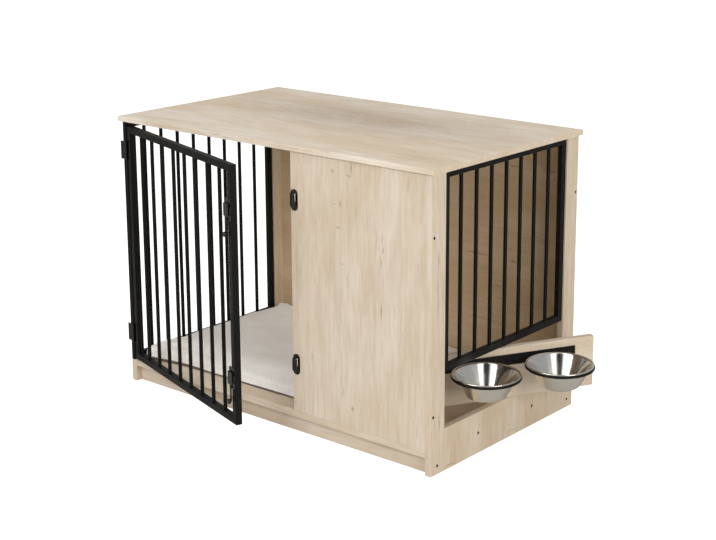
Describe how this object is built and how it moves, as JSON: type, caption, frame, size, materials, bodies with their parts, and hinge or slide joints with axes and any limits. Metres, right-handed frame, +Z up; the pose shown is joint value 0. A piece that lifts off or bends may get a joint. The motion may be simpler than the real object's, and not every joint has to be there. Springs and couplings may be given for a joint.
{
  "type": "dog crate end table",
  "caption": "End table that is also a dog crate: oak-effect carcass with black bar grilles, a swinging bar door with slide latches, and a turning feeder board with bowls.",
  "frame": {"origin": "middle of the front kick board's underside, at floor level", "axes": "+X to the right seen from the front, +Y from the front to the back, +Z up"},
  "size_m": [1.0978, 0.6847, 0.64],
  "materials": {
    "oak_top": "light oak effect, satin, grain along the length",
    "oak_front": "light oak effect, satin, grain upright",
    "oak_side": "light oak effect, satin, grain upright",
    "oak_floor": "light oak effect, satin, grain along the length",
    "oak_feeder": "light oak effect, satin, grain along the length",
    "black_steel": "black powder coat, low sheen",
    "black_fittings": "black paint, semi-gloss",
    "dark_screws": "dark bronze plating",
    "zinc_fittings": "dull zinc plating",
    "nylon_bush": "matt",
    "polished_bowl": "polished stainless steel",
    "fleece": "short white fleece"
  },
  "bodies": {
    "carcass": {"top_panel": "oak_top", "left_side_panel": "oak_side", "right_side_panel": "oak_side", "bottom_panel": "oak_floor", "front_panel": "oak_front", "back_panel": "oak_floor", "front_kick_board": "oak_floor", "rear_kick_board": "oak_floor", "left_grille_bottom_rail": "black_steel", "left_grille_rear_stile": "black_steel", "left_grille_top_rail": "black_steel", "left_grille_front_stile": "black_steel", "left_grille_bars": "black_steel", "right_grille_bottom_rail": "black_steel", "right_grille_rear_stile": "black_steel", "right_grille_top_rail": "black_steel", "right_grille_front_stile": "black_steel", "right_grille_bars": "black_steel", "upper_hinge_fixed_leaf": "black_fittings", "lower_hinge_fixed_leaf": "black_fittings", "hinge_pins": "black_fittings", "upper_keeper": "black_fittings", "lower_keeper": "black_fittings", "feeder_upper_pin": "zinc_fittings", "feeder_lower_pin": "zinc_fittings", "left_side_screws": "dark_screws", "right_side_screws": "dark_screws", "floor_screws": "dark_screws", "left_grille_screws": "black_fittings", "right_grille_screws": "black_fittings", "grille_top_screws": "black_fittings", "hinge_fixed_screws": "black_fittings", "keeper_screws": "black_fittings", "top_cam_bolts": "zinc_fittings", "top_cam_discs": "zinc_fittings"},
    "door": {"door_bottom_rail": "black_steel", "door_latch_stile": "black_steel", "door_top_rail": "black_steel", "door_hinge_stile": "black_steel", "door_bars": "black_steel", "upper_hinge_door_leaf": "black_fittings", "lower_hinge_door_leaf": "black_fittings", "hinge_door_screws": "black_fittings", "latch_screws": "black_fittings", "upper_latch_housing": "black_fittings", "lower_latch_housing": "black_fittings"},
    "upper_latch": {"upper_latch_bolt": "black_fittings", "upper_latch_knob": "black_fittings"},
    "lower_latch": {"lower_latch_bolt": "black_fittings", "lower_latch_knob": "black_fittings"},
    "feeder": {"feeder_board": "oak_feeder", "feeder_bushes": "nylon_bush", "bowl_holder_strip": "black_steel", "holder_screws": "black_fittings", "front_bowl_ring": "black_steel", "rear_bowl_ring": "black_steel"},
    "front_bowl": {"front_bowl": "polished_bowl"},
    "rear_bowl": {"rear_bowl": "polished_bowl"},
    "pad": {"pad": "fleece"}
  },
  "joints": [
    {"name": "door_swing", "type": "hinge", "parent": "carcass", "child": "door", "pos_m": [-0.437, -0.0254, 0.5605], "axis": [0, 0, -1], "range_deg": [-17.2, 160]},
    {"name": "upper_latch_slide", "type": "slide", "parent": "door", "child": "upper_latch", "axis": [0.9553, -0.2957, 0], "range_m": [0, 0.014]},
    {"name": "lower_latch_slide", "type": "slide", "parent": "door", "child": "lower_latch", "axis": [0.9553, -0.2957, 0], "range_m": [0, 0.014]},
    {"name": "feeder_turn", "type": "hinge", "parent": "carcass", "child": "feeder", "pos_m": [0.4425, 0.241, 0.095], "axis": [0, 0, 1], "continuous": true},
    {"name": "front_bowl_lift", "type": "slide", "parent": "feeder", "child": "front_bowl", "axis": [0, 0, 1], "range_m": [0, 0.02]},
    {"name": "rear_bowl_lift", "type": "slide", "parent": "feeder", "child": "rear_bowl", "axis": [0, 0, 1], "range_m": [0, 0.02]},
    {"name": "pad_lift", "type": "slide", "parent": "carcass", "child": "pad", "axis": [0, 0, 1], "range_m": [0, 0.1]}
  ]
}
